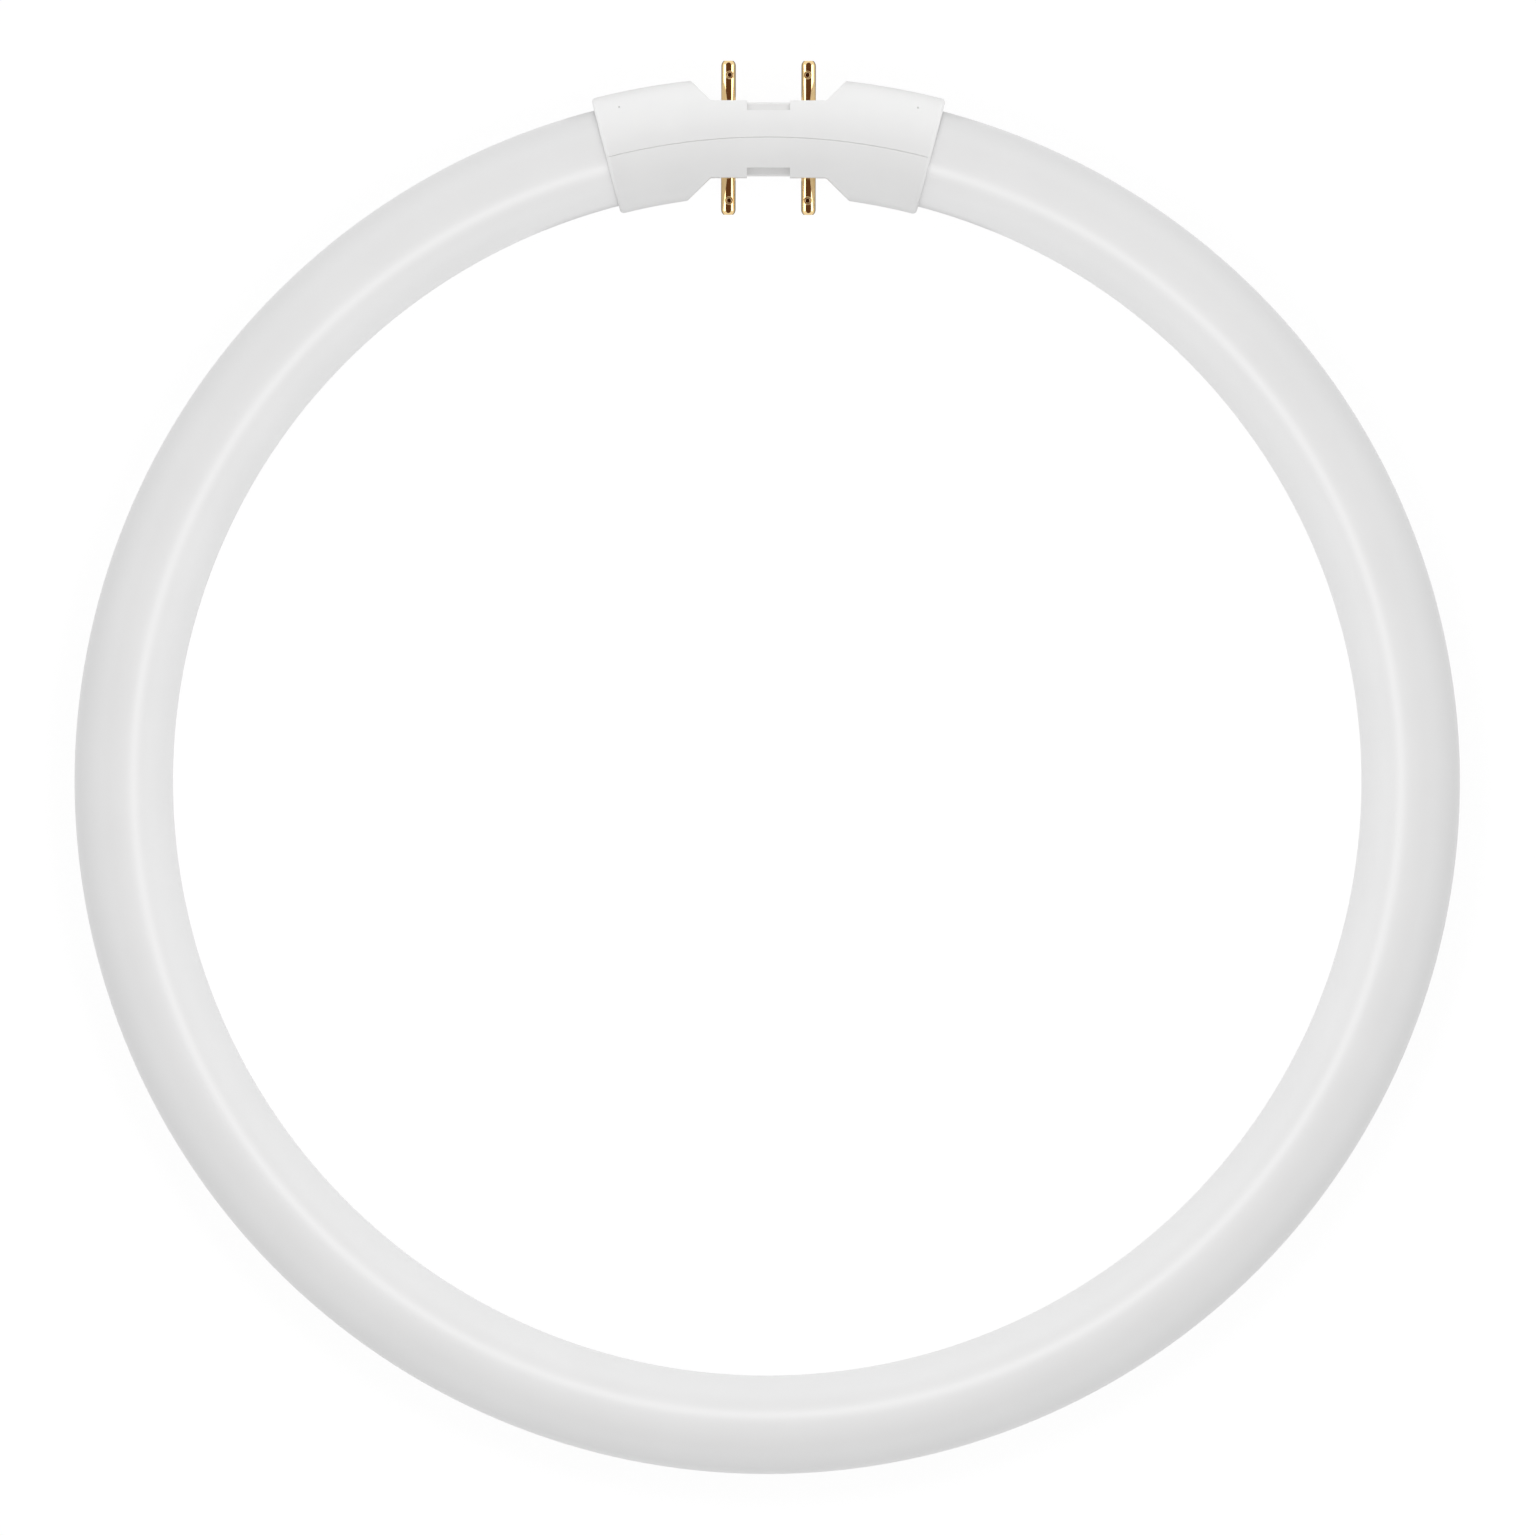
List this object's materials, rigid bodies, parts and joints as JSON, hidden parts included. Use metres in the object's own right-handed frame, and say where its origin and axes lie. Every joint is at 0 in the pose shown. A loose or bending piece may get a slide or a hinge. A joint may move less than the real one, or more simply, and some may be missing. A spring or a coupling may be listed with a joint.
{
  "type": "circular led tube",
  "caption": "Ring-shaped LED lamp: bent opal tube closed by a two-shell plastic cap with contact pins pointing outwards and into the ring.",
  "frame": {"origin": "centre of the ring, in its middle plane", "axes": "+Z along the ring's axis, towards the side the pins are punched on; +Y from the ring's centre through the cap, along the outward pins"},
  "size_m": [0.225, 0.2295, 0.0192],
  "materials": {
    "opal_glass": "opal white glass with a diffusing coat inside, glossy outside",
    "cap_plastic": "white injection-moulded plastic, satin",
    "pin_brass": "polished brass, gold-coloured",
    "strip_white": "white solder mask on a flexible strip",
    "led_yellow": "yellow phosphor in white LED packages",
    "silicone": "white silicone adhesive",
    "board_green": "green solder mask on glass-fibre board",
    "component_black": "black moulding compound",
    "capacitor_can": "sleeved aluminium can",
    "film_red": "dipped box capacitor",
    "ferrite": "sintered ferrite",
    "winding_copper": "enamelled copper wire",
    "resistor_blue": "lacquered ceramic",
    "tinned_wire": "tinned copper wire",
    "wire_white": "white insulated wire"
  },
  "bodies": {
    "root": {"glass_tube": "opal_glass", "outer_cap_shell": "cap_plastic", "inner_cap_shell": "cap_plastic", "pin_outer_left": "pin_brass", "pin_outer_right": "pin_brass", "pin_inner_left": "pin_brass", "pin_inner_right": "pin_brass", "led_strip": "strip_white", "led_packages": "led_yellow", "strip_adhesive": "silicone", "tube_bond_left": "silicone", "tube_bond_right": "silicone", "driver_board": "board_green", "bridge_rectifier": "component_black", "driver_ic": "component_black", "input_capacitor": "capacitor_can", "film_capacitor": "film_red", "choke_core": "ferrite", "choke_winding": "winding_copper", "fuse_resistors": "resistor_blue", "pin_lead_outer_left": "tinned_wire", "pin_lead_outer_right": "tinned_wire", "pin_lead_inner_left": "tinned_wire", "pin_lead_inner_right": "tinned_wire", "strip_lead_left": "wire_white", "strip_lead_right": "wire_white"}
  },
  "joints": []
}
